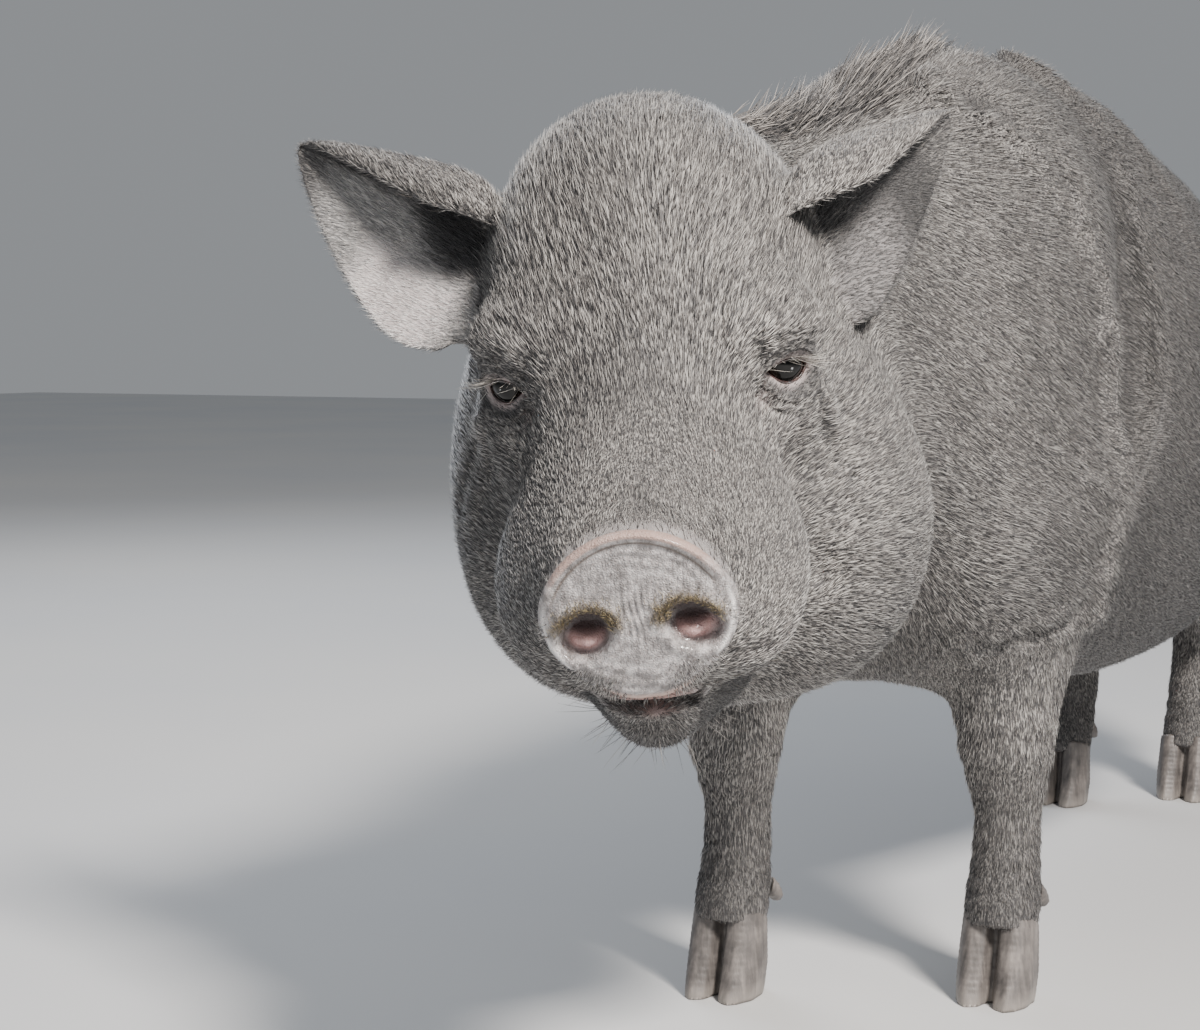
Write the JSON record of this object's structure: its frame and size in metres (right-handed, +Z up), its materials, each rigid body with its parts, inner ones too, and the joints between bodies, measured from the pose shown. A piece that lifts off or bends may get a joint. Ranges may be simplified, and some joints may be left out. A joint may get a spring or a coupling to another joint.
{
  "type": "domestic pig",
  "caption": "Life-size standing domestic pig of the grey pot-bellied type, head turned to its left, with cupped ears, a round snout disc, cloven hooves and a hanging tail.",
  "frame": {"origin": "the middle of the bounding box's bottom face, on the floor that the hooves stand on", "axes": "+Z up, the pig faces -Y, and its left side is +X"},
  "size_m": [0.3314, 1.1082, 0.5292],
  "materials": {
    "hide": "dark slate skin under short beige-tipped bristles",
    "snout": "bare damp skin, pale grey with a pinkish rim",
    "eye": "dark brown, wet and shiny",
    "horn": "grey-brown hoof horn, worn dull"
  },
  "bodies": {
    "root": {"claw_fore_left_inner": "horn", "claw_fore_left_outer": "horn", "claw_fore_right_inner": "horn", "claw_fore_right_outer": "horn", "claw_hind_left_inner": "horn", "claw_hind_left_outer": "horn", "claw_hind_right_inner": "horn", "claw_hind_right_outer": "horn", "dewclaw_fore_left_inner": "horn", "dewclaw_fore_left_outer": "horn", "dewclaw_fore_right_inner": "horn", "dewclaw_fore_right_outer": "horn", "dewclaw_hind_left_inner": "horn", "dewclaw_hind_left_outer": "horn", "dewclaw_hind_right_inner": "horn", "dewclaw_hind_right_outer": "horn", "ear_left": "hide", "ear_right": "hide", "eye_left": "eye", "eye_right": "eye", "head": "hide", "leg_fore_left": "hide", "leg_fore_right": "hide", "leg_hind_left": "hide", "leg_hind_right": "hide", "neck": "hide", "snout": "snout", "tail": "hide", "torso": "hide"}
  },
  "joints": []
}
